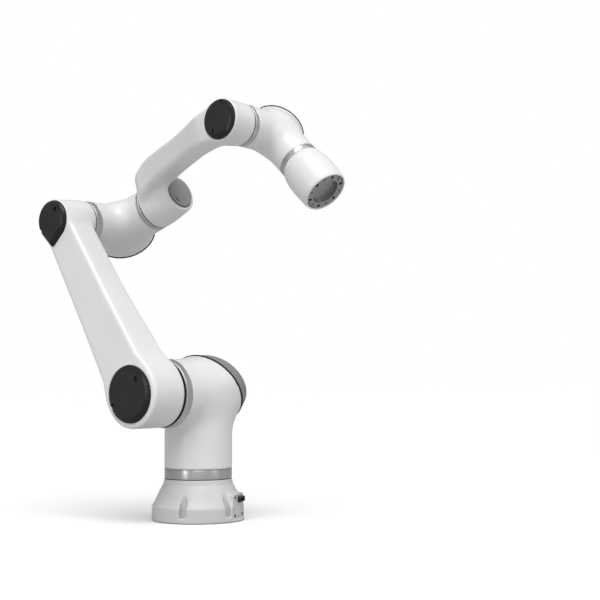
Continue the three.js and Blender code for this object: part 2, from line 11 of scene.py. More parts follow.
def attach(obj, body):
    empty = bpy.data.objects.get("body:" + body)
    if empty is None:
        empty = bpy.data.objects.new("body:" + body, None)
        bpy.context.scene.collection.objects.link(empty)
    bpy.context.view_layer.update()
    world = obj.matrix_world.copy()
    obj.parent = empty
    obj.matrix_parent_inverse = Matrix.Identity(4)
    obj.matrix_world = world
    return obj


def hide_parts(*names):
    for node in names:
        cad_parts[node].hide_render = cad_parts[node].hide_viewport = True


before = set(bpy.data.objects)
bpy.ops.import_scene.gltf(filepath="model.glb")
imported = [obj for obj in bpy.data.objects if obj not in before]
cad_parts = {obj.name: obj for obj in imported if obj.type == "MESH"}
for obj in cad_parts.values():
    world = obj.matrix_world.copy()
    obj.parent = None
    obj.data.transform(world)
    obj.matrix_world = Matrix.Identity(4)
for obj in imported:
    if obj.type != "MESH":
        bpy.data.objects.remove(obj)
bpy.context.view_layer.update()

MM = 0.001

# ---- Driving dimensions, as in the CAD --------------------------------------------------------------

SHOULDER_HEIGHT = 233
UPPER_ARM_LENGTH = 380
FOREARM_LENGTH = 414
TOOL_FACE = 164
UPPER_ARM_LEAN = 32.7
FOREARM_RISE = 20.4
FOREARM_TWIST = -2.3
WRIST_BEND = 64.5
BASE_TURN = 23
RUNNING_GAP = 1.2
GAP = 0.3
WALL = 5
SHARP = 32
CASTING_STEP = 2.2
BASE_STEP = 1.7

SHOULDER = dict(neck=62.4, face_a=137.5, face_b=81, straight_a=76, straight_b=64, ring_a=18.5, ring_b=17,
                tilt=30, distance=24.5, shift=4.9, radius=80, stretch=0.875, cover=40, fillet=20, lean=0.2)
ELBOW = dict(neck=43, face_a=90, face_b=86.5, straight_a=52, straight_b=52, ring_a=15.5, ring_b=9.5,
             tilt=49, distance=28, shift=-0.8, radius=51.6, stretch=1.21, cover=24, fillet=30, lean=0)
WRIST = dict(neck=37, face_a=83, face_b=75.8, straight_a=46, straight_b=46, ring_a=11, ring_b=9.7,
             tilt=49, distance=30.8, shift=-0.3, radius=39.7, stretch=1.26, cover=19, fillet=26, lean=0)


def turn(axis, degrees):
    return Matrix.Rotation(math.radians(degrees), 4, axis)


def move(x, y, z):
    return Matrix.Translation((x, y, z))


BASE_FRAME = turn("Z", BASE_TURN)
SHOULDER_FRAME = move(0, 0, SHOULDER_HEIGHT)
ARM_FRAME = SHOULDER_FRAME @ turn("Y", -UPPER_ARM_LEAN)
REACH_FRAME = ARM_FRAME @ move(0, 0, UPPER_ARM_LENGTH) @ turn("Y", 90 - FOREARM_RISE + UPPER_ARM_LEAN)
ELBOW_FRAME = REACH_FRAME @ turn("X", -90)
FOREARM_FRAME = REACH_FRAME @ turn("Z", FOREARM_TWIST)
BEND_FRAME = FOREARM_FRAME @ move(0, 0, FOREARM_LENGTH) @ turn("Y", WRIST_BEND)
WRIST_FRAME = BEND_FRAME @ turn("X", -90)
OUTBOARD = turn("X", 90)

# ---- Materials --------------------------------------------------------------------------------------


class Nodes:
    """A small builder for one material's node tree."""

    def __init__(self, name):
        self.material = bpy.data.materials.new(name)
        self.material.use_nodes = True
        self.tree = self.material.node_tree
        self.shader = self.tree.nodes["Principled BSDF"]
        self.coordinates = self.tree.nodes.new("ShaderNodeTexCoord")

    def link(self, source, target):
        self.tree.links.new(source, target)

    def noise(self, scale, detail=3, roughness=0.5, stretch=None, uv=False):
        node = self.tree.nodes.new("ShaderNodeTexNoise")
        node.inputs["Scale"].default_value = scale
        node.inputs["Detail"].default_value = detail
        node.inputs["Roughness"].default_value = roughness
        source = self.coordinates.outputs["UV" if uv else "Object"]
        if stretch:
            mapping = self.tree.nodes.new("ShaderNodeMapping")
            mapping.inputs["Scale"].default_value = stretch
            self.link(source, mapping.inputs["Vector"])
            source = mapping.outputs["Vector"]
        self.link(source, node.inputs["Vector"])
        return node.outputs["Fac"]

    def spread(self, value, low, high, start=0.3, end=0.7):
        node = self.tree.nodes.new("ShaderNodeMapRange")
        node.inputs["From Min"].default_value = start
        node.inputs["From Max"].default_value = end
        node.inputs["To Min"].default_value = low
        node.inputs["To Max"].default_value = high
        self.link(value, node.inputs["Value"])
        return node.outputs["Result"]

    def mix(self, factor, first, second):
        node = self.tree.nodes.new("ShaderNodeMix")
        node.data_type = "RGBA"
        for socket, value in (("A", first), ("B", second)):
            target = [s for s in node.inputs if s.name == socket and s.type == "RGBA"][0]
            if isinstance(value, tuple):
                target.default_value = (*value, 1)
            else:
                self.link(value, target)
        self.link(factor, [s for s in node.inputs if s.name == "Factor" and s.type == "VALUE"][0])
        return [s for s in node.outputs if s.type == "RGBA"][0]

    def edges(self, low, high):
        """1 on convex edges, 0 elsewhere."""
        node = self.tree.nodes.new("ShaderNodeNewGeometry")
        return self.spread(node.outputs["Pointiness"], 0, 1, low, high)

    def bump(self, height, strength, distance):
        node = self.tree.nodes.new("ShaderNodeBump")
        node.inputs["Strength"].default_value = strength
        node.inputs["Distance"].default_value = distance
        self.link(height, node.inputs["Height"])
        self.link(node.outputs["Normal"], self.shader.inputs["Normal"])

    def set(self, **values):
        for name, value in values.items():
            self.shader.inputs[name.replace("_", " ")].default_value = value
        return self.material


def paint(name, colour, shade, roughness, grain, strength):
    """Satin paint: faint mottling, a fine orange-peel surface, and slightly rubbed edges."""
    n = Nodes(name)
    mottled = n.mix(n.spread(n.noise(9, 4), 0, 1), colour, shade)
    rubbed = tuple(min(1, c * 1.05) for c in colour)
    n.link(n.mix(n.edges(0.53, 0.60), mottled, rubbed), n.shader.inputs["Base Color"])
    n.link(n.spread(n.noise(34, 5), roughness - 0.05, roughness + 0.06), n.shader.inputs["Roughness"])
    n.bump(n.noise(grain, 2), strength, 0.0004)
    return n.set(IOR=1.5, Coat_Weight=0.12, Coat_Roughness=0.25)


def moulded(name, colour, shade, roughness, grain=2600, strength=0.35):
    """Moulded plastic: spark-textured, a little lighter where edges are handled."""
    n = Nodes(name)
    mottled = n.mix(n.spread(n.noise(28, 4), 0, 1), colour, shade)
    worn = tuple(c * 1.5 + 0.012 for c in colour)
    n.link(n.mix(n.edges(0.54, 0.64), mottled, worn), n.shader.inputs["Base Color"])
    n.link(n.spread(n.noise(60, 4), roughness - 0.06, roughness + 0.08), n.shader.inputs["Roughness"])
    n.bump(n.noise(grain, 2, 0.6), strength, 0.0003)
    return n.set(IOR=1.46, Specular_IOR_Level=0.32)


def turned_metal(name, colour, shade, roughness, streaks=(3, 260, 1)):
    """Turned metal: fine lines that run round the piece."""
    n = Nodes(name)
    lines = n.noise(1, 4, 0.6, streaks, uv=True)
    n.link(n.mix(n.spread(lines, 0, 1), colour, shade), n.shader.inputs["Base Color"])
    n.link(n.spread(lines, roughness - 0.06, roughness + 0.08), n.shader.inputs["Roughness"])
    n.bump(lines, 0.12, 0.0002)
    return n.set(Metallic=1.0, Anisotropic=0.75, Anisotropic_Rotation=0.25)


def cast_metal(name, colour, shade, roughness, metallic=1.0):
    """Bare or anodised metal with a fine even grain."""
    n = Nodes(name)
    n.link(n.mix(n.spread(n.noise(45, 4), 0, 1), colour, shade), n.shader.inputs["Base Color"])
    n.link(n.spread(n.noise(120, 4), roughness - 0.06, roughness + 0.08), n.shader.inputs["Roughness"])
    n.bump(n.noise(3200, 2), 0.18, 0.0002)
    return n.set(Metallic=metallic)


WHITE = paint("white_satin_paint", (0.705, 0.707, 0.712), (0.675, 0.677, 0.682), 0.33, 900, 0.12)
BASE_PAINT = paint("fine_texture_base_paint", (0.545, 0.548, 0.562), (0.515, 0.518, 0.532), 0.44, 1500, 0.30)
RING = turned_metal("turned_aluminium", (0.56, 0.562, 0.566), (0.47, 0.472, 0.476), 0.30)
DARK = moulded("charcoal_moulding", (0.019, 0.019, 0.0195), (0.014, 0.014, 0.0145), 0.52)
# The caps' charcoal again, glossier, and darker in colour: painted shade on the caps' proud side walls and
# bevels.
DARK_GLOSS_PAINTED_SHADE = moulded("charcoal_bevel_painted_shade", (0.010, 0.010, 0.0105), (0.008, 0.008, 0.0085), 0.24, strength=0.05)
GREY = moulded("grey_moulding", (0.245, 0.246, 0.25), (0.215, 0.216, 0.22), 0.46)
RUBBER = moulded("black_rubber", (0.012, 0.012, 0.013), (0.02, 0.02, 0.021), 0.72, 1400)
ANODISED = cast_metal("anodised_aluminium", (0.36, 0.365, 0.37), (0.32, 0.325, 0.33), 0.38)
STEEL = cast_metal("ground_steel", (0.55, 0.56, 0.57), (0.47, 0.48, 0.49), 0.3)
MOTOR = moulded("motor_enamel", (0.03, 0.03, 0.032), (0.045, 0.045, 0.048), 0.5, 900)
SCREW = cast_metal("black_oxide_screw", (0.07, 0.07, 0.073), (0.05, 0.05, 0.052), 0.36)
PIN = cast_metal("gilt_contact", (0.78, 0.6, 0.3), (0.7, 0.52, 0.25), 0.3)

# ---- Mesh helpers -----------------------------------------------------------------------------------


def mesh_of(name, vertices, faces, place):
    """A mesh from points in millimetres in a frame of its own."""
    mesh = bpy.data.meshes.new(name)
    points = np.asarray(vertices, float) @ np.array(place.to_3x3()).T + np.array(place.translation)
    mesh.from_pydata((points * MM).tolist(), [], [tuple(int(i) for i in f) for f in faces])
    return mesh


def bands(levels, count):
    """The quads between each ring of points and the next, ring by ring."""
    faces = []
    for level in range(levels - 1):
        for i in range(count):
            here, after = level * count + i, level * count + (i + 1) % count
            faces.append((here, after, after + count, here + count))
    return faces


def add(name, vertices, faces, place, body, materials, sharp=SHARP, uv=None, indices=None):
    """A new piece from points in millimetres in its own frame."""
    mesh = mesh_of(name, vertices, faces, place)
    mesh.update()
    for material in materials if isinstance(materials, (list, tuple)) else [materials]:
        mesh.materials.append(material)
    if indices is not None:
        mesh.polygons.foreach_set("material_index", np.asarray(indices, np.int32))
    if uv is not None:
        layer = mesh.uv_layers.new(name="UVMap")
        layer.data.foreach_set("uv", np.asarray(uv, np.float32).ravel())
    mesh.polygons.foreach_set("use_smooth", [True] * len(mesh.polygons))
    mesh.set_sharp_from_angle(angle=math.radians(sharp))
    piece = bpy.data.objects.new(name, mesh)
    bpy.context.scene.collection.objects.link(piece)
    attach(piece, body)
    return piece


def soften(points, radius, steps=4):
    """The same profile with each inner corner rounded."""
    points = [np.array(p, float) for p in points]
    out = [points[0]]
    for before, corner, after in zip(points, points[1:], points[2:]):
        a, b = before - corner, after - corner
        la, lb = np.linalg.norm(a), np.linalg.norm(b)
        cut = min(radius, la * 0.48, lb * 0.48)
        p, q = corner + a / la * cut, corner + b / lb * cut
        for i in range(steps + 1):
            t = i / steps
            out.append((1 - t) ** 2 * p + 2 * t * (1 - t) * corner + t * t * q)
    out.append(points[-1])
    return out


def closed_profile(points, radius, steps=4):
    """A closed profile with every corner rounded."""
    ring = soften([points[-1], *points, points[0]], radius, steps)
    return ring[1:-1]


def lathe(profile, sides=96, closed=False, scale=(1, 1), centre=(0, 0)):
    """Vertices, faces and UVs of a profile of (radius, height) turned round +Z."""
    profile = np.array(profile, float)
    angles = np.arange(sides) / sides * 2 * math.pi
    rows = len(profile)
    vertices = np.stack([
        np.outer(profile[:, 0], np.cos(angles)) * scale[0] + centre[0],
        np.outer(profile[:, 0], np.sin(angles)) * scale[1] + centre[1],
        np.repeat(profile[:, 1][:, None], sides, 1),
    ], -1).reshape(-1, 3)
    lengths = np.r_[0, np.cumsum(np.linalg.norm(np.diff(profile, axis=0), axis=1))] / 100
    faces, uv = [], []
    for row in range(rows if closed else rows - 1):
        nxt = (row + 1) % rows
        v0, v1 = lengths[row], lengths[row] + 0.02 if nxt == 0 else lengths[nxt]
        for i in range(sides):
            j = (i + 1) % sides
            faces.append((row * sides + i, row * sides + j, nxt * sides + j, nxt * sides + i))
            uv += [(i / sides, v0), ((i + 1) / sides, v0), ((i + 1) / sides, v1), (i / sides, v1)]
    return vertices, faces, uv


def turned(name, profile, place, body, material, sides=96, closed=True, scale=(1, 1), centre=(0, 0),
           sharp=SHARP):
    """A turned piece. An open profile starts and ends on the axis and is welded there."""
    vertices, faces, uv = lathe(profile, sides, closed, scale, centre)
    piece = add(name, vertices, faces, place, body, material, sharp, uv)
    if not closed:
        weld(piece)
    face_out(piece)
    return piece


def edit(piece, change):
    work = bmesh.new()
    work.from_mesh(piece.data)
    change(work)
    work.to_mesh(piece.data)
    work.free()
    piece.data.update()


def weld(piece):
    edit(piece, lambda work: bmesh.ops.remove_doubles(work, verts=work.verts, dist=1e-6))


def face_out(piece):
    edit(piece, lambda work: bmesh.ops.recalc_face_normals(work, faces=work.faces))


def outline_loft(name, outline, levels, place, body, materials, steps_material=None):
    """A closed body from (inset, height) levels of an outline. Its two ends are flat."""
    rings = [[(x, y, height) for x, y in outline(inset)] for inset, height in levels]
    count = len(rings[0])
    vertices = [p for ring in rings for p in ring]
    faces = [tuple(reversed(range(count))), *bands(len(rings), count)]
    faces.append(tuple((len(rings) - 1) * count + i for i in range(count)))
    indices = [0]
    for level in range(len(rings) - 1):
        indices += [steps_material[level] if steps_material else 0] * count
    indices.append(0)
    piece = add(name, vertices, faces, place, body, materials, indices=indices)
    face_out(piece)
    return piece


def carve(piece, cutters):
    """Cuts closed cutters, given as (vertices, faces, place), out of a piece."""
    for vertices, faces, place in cutters:
        cutter = bpy.data.objects.new("cutter", mesh_of("cutter", vertices, faces, place))
        bpy.context.scene.collection.objects.link(cutter)
        edit(cutter, lambda work: (bmesh.ops.remove_doubles(work, verts=work.verts, dist=1e-7),
                                   bmesh.ops.recalc_face_normals(work, faces=work.faces)))
        modifier = piece.modifiers.new("cut", "BOOLEAN")
        modifier.operation = "DIFFERENCE"
        modifier.solver = "EXACT"
        modifier.object = cutter
        with bpy.context.temp_override(object=piece, active_object=piece):
            bpy.ops.object.modifier_apply(modifier=modifier.name)
        bpy.data.objects.remove(cutter)
    piece.data.set_sharp_from_angle(angle=math.radians(SHARP))


def peg(radius, low, high, sides=24):
    """A closed round cutter."""
    vertices, faces, _ = lathe([(0, low), (radius, low), (radius, high), (0, high)], sides)
    return vertices, faces


def brick(w, d, h):
    """A closed rectangular cutter round its own middle."""
    corners = [(x * w / 2, y * d / 2, z * h / 2) for x in (-1, 1) for y in (-1, 1) for z in (-1, 1)]
    return corners, [(0, 1, 3, 2), (4, 6, 7, 5), (0, 4, 5, 1), (2, 3, 7, 6), (0, 2, 6, 4), (1, 5, 7, 3)]


# ---- Castings from distance fields ------------------------------------------------------------------


def grid_of(low, high, step):
    low, high = np.array(low, float), np.array(high, float)
    counts = np.ceil((high - low) / step).astype(int) + 1
    axes = [low[i] + step * np.arange(counts[i]) for i in range(3)]
    return np.stack(np.meshgrid(*axes, indexing="ij"), -1), low, step


def surface(field, low, step):
    """A mesh of a sampled distance field's zero level.

    It has one vertex for each crossed cell and one quad for each crossed edge."""
    inside = field < 0
    cells = tuple(n - 1 for n in field.shape)
    total, count = np.zeros(cells + (3,)), np.zeros(cells)
    corner = np.stack(np.meshgrid(*[np.arange(n) for n in cells], indexing="ij"), -1).astype(float)
    for axis in range(3):
        others = [a for a in range(3) if a != axis]
        for da in (0, 1):
            for db in (0, 1):
                shift = [0, 0, 0]
                shift[others[0]], shift[others[1]] = da, db
                first = tuple(slice(shift[a], shift[a] + cells[a]) for a in range(3))
                shift[axis] = 1
                second = tuple(slice(shift[a], shift[a] + cells[a]) for a in range(3))
                shift[axis] = 0
                d0, d1 = field[first], field[second]
                crossed = inside[first] != inside[second]
                with np.errstate(divide="ignore", invalid="ignore"):
                    t = np.where(crossed, d0 / (d0 - d1), 0)
                point = corner + shift
                point[..., axis] += t
                total += np.where(crossed[..., None], point, 0)
                count += crossed
    used = count > 0
    index = np.full(cells, -1)
    index[used] = np.arange(used.sum())
    vertices = total[used] / count[used][:, None]
    faces = []
    for axis in range(3):
        b, c = [(1, 2), (2, 0), (0, 1)][axis]
        first = [slice(None)] * 3
        second = [slice(None)] * 3
        first[axis], second[axis] = slice(0, -1), slice(1, None)
        crossed = inside[tuple(first)] != inside[tuple(second)]
        flip = inside[tuple(first)][crossed]
        where = np.argwhere(crossed)
        keep = (where[:, b] > 0) & (where[:, c] > 0) & (where[:, b] < cells[b]) & (where[:, c] < cells[c])
        where, flip = where[keep], flip[keep]
        quads = []
        for db, dc in ((-1, -1), (0, -1), (0, 0), (-1, 0)):
            cell = where.copy()
            cell[:, b] += db
            cell[:, c] += dc
            quads.append(index[cell[:, 0], cell[:, 1], cell[:, 2]])
        quads = np.stack(quads, -1)
        quads[~flip] = quads[~flip][:, ::-1]
        faces.append(quads)
    vertices = settle(vertices, field)
    return vertices * step + low, np.concatenate(faces)


def sample(volume, points):
    """Trilinear values of a sampled field at points given in cells."""
    base = np.clip(np.floor(points).astype(int), 0, np.array(volume.shape[:3]) - 2)
    f = points - base
    value = 0
    for dx in (0, 1):
        for dy in (0, 1):
            for dz in (0, 1):
                weight = np.abs(1 - dx - f[:, 0]) * np.abs(1 - dy - f[:, 1]) * np.abs(1 - dz - f[:, 2])
                part = volume[base[:, 0] + dx, base[:, 1] + dy, base[:, 2] + dz]
                value = value + (weight * part.T).T
    return value


def settle(vertices, field):
    """Moves vertices onto the zero level along the field's slope."""
    slope = np.stack(np.gradient(field), -1)
    for _ in range(2):
        gradient = sample(slope, vertices)
        length = np.maximum((gradient ** 2).sum(-1), 1e-6)
        step = sample(field, vertices) / length
        vertices = vertices - np.clip(step, -0.6, 0.6)[:, None] * gradient
    return vertices


def smooth_min(a, b, k):
    h = np.clip(0.5 + 0.5 * (b - a) / k, 0, 1)
    return b + (a - b) * h - k * h * (1 - h)


def smooth_max(a, b, k):
    return -smooth_min(-a, -b, k)


def rounded_pair(a, b, radius):
    """The corner where two distances meet, rounded."""
    u, v = a + radius, b + radius
    return np.minimum(np.maximum(u, v), 0) + np.hypot(np.maximum(u, 0), np.maximum(v, 0)) - radius


def drum(radial, height, radius, low, high, soft=0.0):
    """A round drum of that radius between two heights, with rounded edges."""
    return rounded_pair(radial - radius, np.abs(height - (low + high) / 2) - (high - low) / 2, soft)


def rounded_box(u, v, half_u, half_v, radius):
    return rounded_pair(np.abs(u) - half_u, np.abs(v) - half_v, radius)


def through(stations, z):
    """Smoothly interpolated station values at heights z: one array for each column after the first."""
    stations = np.array(stations, float)
    zs = stations[:, 0]
    slopes = np.gradient(stations[:, 1:], zs, axis=0)
    zc = np.clip(z, zs[0], zs[-1])
    i = np.clip(np.searchsorted(zs, zc) - 1, 0, len(zs) - 2)
    width = zs[i + 1] - zs[i]
    t = (zc - zs[i]) / width
    out = []
    for column in range(stations.shape[1] - 1):
        p0, p1 = stations[i, column + 1], stations[i + 1, column + 1]
        m0, m1 = slopes[i, column] * width, slopes[i + 1, column] * width
        out.append((2 * t ** 3 - 3 * t ** 2 + 1) * p0 + (t ** 3 - 2 * t ** 2 + t) * m0
                   + (-2 * t ** 3 + 3 * t ** 2) * p1 + (t ** 3 - t ** 2) * m1)
    return out


def casting(name, field_of, low, high, step, place, body, material, node):
    points, low, step = grid_of(low, high, step * (1))
    vertices, faces = surface(field_of(points), low, step)
    piece = add(name, vertices, faces, place, body, material, 40)
    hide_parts(node)
    return piece


def seat_cutter(outline, low, high):
    """A closed prism of an outline, to cut a cap's seat."""
    points = outline(-GAP)
    count = len(points)
    vertices = [(x, y, h) for h in (low, high) for x, y in points]
    faces = [tuple(reversed(range(count))), tuple(range(count, 2 * count))]
    return vertices, faces + bands(2, count)


# ---- Corner housings --------------------------------------------------------------------------------


def horn(spec, face, straight, tilt, shift, sides=80, steps=24):
    """One horn's fine skin, run on past both of its ends, as a search tree."""
    sin, cos = math.sin(math.radians(tilt)), math.cos(math.radians(tilt))
    seam_y = spec["distance"] * sin + shift * cos
    seam_z = spec["distance"] * cos - shift * sin
    angles = np.arange(sides) / sides * 2 * math.pi
    along = spec["radius"] * spec["stretch"] * np.sin(angles)
    neck = spec["neck"]
    foot = np.stack([neck * np.cos(angles), neck * np.sin(angles), -straight + 0 * angles], -1)
    rim = np.stack([spec["radius"] * np.cos(angles), seam_y + along * cos, seam_z - along * sin], -1)
    knee = foot.copy()
    knee[:, 2] = (foot[:, 2] + rim[:, 2]) / 2
    start = foot.copy()
    start[:, 2] = -face - 30
    rings = [start]
    for i in range(steps + 1):
        t = i / steps
        rings.append((1 - t) ** 2 * foot + 2 * t * (1 - t) * knee + t * t * rim)
    rings.append(rim + np.array([0, sin, cos]) * 30)
    vertices = np.concatenate(rings)
    faces = bands(len(rings), sides)
    middle = [start.mean(0), rings[-1].mean(0)]
    vertices = np.concatenate([vertices, middle])
    last = (len(rings) - 1) * sides
    for i in range(sides):
        j = (i + 1) % sides
        faces.append((len(vertices) - 2, j, i))
        faces.append((len(vertices) - 1, last + i, last + j))
    return BVHTree.FromPolygons([Vector(v) for v in vertices], faces)


def distances(tree, points):
    """Signed distances to a closed skin: negative inside."""
    out = np.empty(len(points))
    for i, p in enumerate(points.tolist()):
        near, normal, _, distance = tree.find_nearest(p)
        side = (p[0] - near[0]) * normal[0] + (p[1] - near[1]) * normal[1] + (p[2] - near[2]) * normal[2]
        out[i] = distance if side > 0 else -distance
    return out


def corner_field(spec):
    tilt_a = 90 - spec["tilt"]
    horn_a = horn(spec, spec["face_a"], spec["straight_a"], tilt_a, spec["shift"])
    horn_b = horn(spec, spec["face_b"], spec["straight_b"], spec["tilt"], -spec["shift"])
    sin, cos = math.sin(math.radians(tilt_a)), math.cos(math.radians(tilt_a))
    bore = spec["neck"] - WALL

    def near_field(tree, points, shape):
        """Exact near the skin, coarse far from it."""
        coarse = points[::3, ::3, ::3]
        rough = distances(tree, coarse.reshape(-1, 3)).reshape(coarse.shape[:3])
        index = np.stack(np.meshgrid(*[np.arange(n) / 3 for n in shape], indexing="ij"), -1).reshape(-1, 3)
        full = sample(rough, np.minimum(index, np.array(rough.shape) - 1.001))
        flat = points.reshape(-1, 3)
        band = np.abs(full) < spec["fillet"] * 0.5 + 3
        full[band] = distances(tree, flat[band])
        return full.reshape(shape)

    def field(points):
        shape = points.shape[:3]
        x, y, z = points[..., 0], points[..., 1], points[..., 2]
        a = near_field(horn_a, points, shape)
        b = near_field(horn_b, points[..., [0, 2, 1]], shape)
        height = y * sin + z * cos
        away = np.clip((spec["distance"] - 4 - height) / spec["neck"], 0, 1)
        outside = smooth_min(a, b, 0.1 + spec["fillet"] * away * away * (3 - 2 * away))
        lining = outside + WALL * 0.8
        along = y * cos - z * sin
        outside = rounded_pair(outside, height - spec["distance"], 0.9)
        outside = rounded_pair(outside, -spec["face_a"] - z, 0.8)
        outside = rounded_pair(outside, -spec["face_b"] - y, 0.8)
        neck_a = np.maximum(np.hypot(x, y) - bore, z)
        neck_b = np.maximum(np.hypot(x, z) - bore, y)
        share = np.clip(height / (spec["distance"] - 5), 0, 1)
        wide = bore * 0.8 + (spec["radius"] - WALL - bore * 0.8) * share
        mouth = np.maximum(np.hypot(x, (along - spec["shift"]) / spec["stretch"]) - wide, -height)
        room = np.maximum(np.minimum(np.minimum(neck_a, neck_b), mouth), lining)
        return np.maximum(outside, -room)

    return field


SEAL_THICKNESS = 2.2
SEAL_PROUD = 0.8
COVER_WALL = 3
# The rear cover's profile, as shares of its radius and of its height.
COVER_PROFILE = [(1, 0), (0.985, 0.09), (0.965, 0.18), (0.93, 0.35), (0.89, 0.54), (0.84, 0.72), (0.76, 0.85),
                 (0.62, 0.945), (0.4, 0.985), (0.2, 0.997), (0, 1)]


def corner(name, spec, place, joints):
    reach = spec["radius"] * spec["stretch"]
    casting(f"{name}_casting", corner_field(spec),
            (-spec["radius"] - 6, -spec["face_b"] - 4, -spec["face_a"] - 4),
            (spec["radius"] + 6, reach + 12, reach + 12),
            CASTING_STEP, place, name, WHITE, f"{name}_housing")
    seam = place @ turn("X", -(90 - spec["tilt"]))
    scale, centre = (1, spec["stretch"]), (0, spec["shift"])
    low = spec["distance"] + GAP
    high = low + SEAL_THICKNESS
    gasket = closed_profile([(spec["radius"] - WALL, low), (spec["radius"] + SEAL_PROUD, low),
                             (spec["radius"] + SEAL_PROUD, high), (spec["radius"] - WALL, high)], 0.5)
    piece = turned(f"{name}_seam_seal", gasket, seam, name, RUBBER, 128, True, scale, centre)
    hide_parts(f"{name}_gasket")
    foot = high + GAP
    r, h = spec["radius"] - 0.4, spec["cover"]
    outside = [(r * share, foot + h * rise) for share, rise in COVER_PROFILE]
    inside = [(max(0, x - COVER_WALL), y - (COVER_WALL if y > foot else 0)) for x, y in outside][::-1]
    profile = [inside[0], *soften(inside[:-1] + [(r - COVER_WALL, foot)], 8, 5)[1:],
               *soften([(r, foot)] + outside[1:], 8, 5)]
    lean = np.eye(4)
    lean[1, 2], lean[1, 3] = spec["lean"], -spec["lean"] * foot
    dome = turned(f"{name}_dome", profile, seam @ Matrix(lean.tolist()), name, GREY, 128, False,
                  scale, centre, 40)
    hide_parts(f"{name}_rear_cover")
    for joint, face, length, flip in ((joints[0], spec["face_a"], spec["ring_a"], 180),
                                      (joints[1], spec["face_b"], spec["ring_b"], 90)):
        joint_ring(name, joint, spec["neck"], face, length, place @ turn("X", flip))


def joint_ring(body, joint, neck, face, length, place):
    """A polished ring with a fine groove near each edge, and the seal lip in the running gap beyond it."""
    r = neck - 0.15
    low, high = face + GAP, face + length
    profile = closed_profile([
        (neck - 7, low), (r, low), (r, low + 1.3), (r - 0.55, low + 1.5), (r - 0.55, low + 2.1),
        (r, low + 2.3),
        (r, high - 2.0), (r - 0.5, high - 1.6), (r - 0.5, high), (neck - 7, high)], 0.35, 3)
    piece = turned(f"{joint}_polished_ring", profile, place, body, RING, 144)
    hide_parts(f"{joint}_trim_ring")
    lip = closed_profile([(neck - 5, high + 0.1), (r - 0.6, high + 0.1), (r - 0.6, high + RUNNING_GAP - 0.15),
                          (neck - 5, high + RUNNING_GAP - 0.15)], 0.3, 2)
    turned(f"{joint}_seal_lip", lip, place, body, RUBBER, 96)


corner("shoulder", SHOULDER, SHOULDER_FRAME, ("joint1", "joint2"))
corner("elbow", ELBOW, ELBOW_FRAME, ("joint3", "joint4"))
corner("wrist", WRIST, WRIST_FRAME, ("joint5", "joint6"))

# ---- Upper arm --------------------------------------------------------------------------------------

ARM_FACE = 177
LOWER_BOSS = (61.3, SHOULDER["face_b"] + SHOULDER["ring_b"] + RUNNING_GAP)
UPPER_BOSS = (43.0, ELBOW["face_a"] + ELBOW["ring_a"] + RUNNING_GAP)
UPPER_BOSS_END = 38.8
CAP_SEAT = 6
CAP_EDGE = 1.5
CAP_BEVEL = 9
SHOULDER_CAP_RADIUS = 51.2
ELBOW_CAP_RADIUS = 37.2
TEARDROP_TIP = 51
TEARDROP_ANGLE = math.radians(-90 - UPPER_ARM_LEAN)
ARM_BAR = [
    # z, x, inner side, half width
    (0, 0, 101, 54), (95, 0, 106, 48), (190, 0, 114, 42.5), (285, 0, 116, 38.5), (380, 0, 116, 34),
]


def arm_field(points):
    x, y, z = points[..., 0], -points[..., 1], points[..., 2]
    centre, inner, half = through(ARM_BAR, z)
    low_radial, high_radial = np.hypot(x, z), np.hypot(x, z - UPPER_ARM_LENGTH)
    middle, depth = (ARM_FACE + inner) / 2, (ARM_FACE - inner) / 2
    bar = rounded_box(x - centre, y - middle, half, depth, 9)
    bar = rounded_pair(bar, np.maximum(-z, z - UPPER_ARM_LENGTH - 6), 26)
    low_boss = drum(low_radial, y, LOWER_BOSS[0], LOWER_BOSS[1], ARM_FACE + 1, 7)
    taper = np.clip((y - UPPER_BOSS[1] - 16) / (ARM_FACE - UPPER_BOSS[1] - 16), 0, 1)
    shrunk = high_radial + (UPPER_BOSS[0] - UPPER_BOSS_END) * taper
    high_boss = drum(shrunk, y, UPPER_BOSS[0], UPPER_BOSS[1], ARM_FACE, 1.5)
    outside = smooth_min(smooth_min(bar, low_boss, 18), high_boss, 10)
    outside = rounded_pair(outside, y - ARM_FACE - np.clip(1 - (low_radial - 50) / 12, 0, 1), 2)
    outside = np.maximum(outside, LOWER_BOSS[1] - y)
    room_bar = rounded_box(x - centre, y - middle, half - WALL, depth - WALL, 10)
    room_bar = np.maximum(room_bar, np.maximum(20 - z, z - UPPER_ARM_LENGTH + 14))
    rooms = np.minimum(room_bar, boss_room(low_radial, y, LOWER_BOSS, ARM_FACE + 1 - CAP_SEAT, 40))
    upper_room = boss_room(high_radial, y, (UPPER_BOSS_END, UPPER_BOSS[1]), ARM_FACE - CAP_SEAT, 26)
    rooms = np.minimum(rooms, upper_room)
    return np.maximum(outside, -rooms)


def boss_room(radial, height, boss, seat, mouth):
    radius, inner = boss
    room = drum(radial, height, radius - WALL, inner + WALL, seat - WALL)
    room = np.minimum(room, drum(radial, height, radius - 15, inner - 10, inner + WALL + 1))
    return np.minimum(room, drum(radial, height, mouth, seat - WALL - 1, seat + 1))


upper_arm = casting("upper_arm_casting", arm_field, (-66, -184, -66), (66, -94, 428), CASTING_STEP,
                    ARM_FRAME, "upper_arm", WHITE, "upper_arm")


def circle_outline(radius, count=96):
    angles = np.arange(count) / count * 2 * math.pi
    return lambda inset: [((radius - inset) * math.cos(a), (radius - inset) * math.sin(a)) for a in angles]


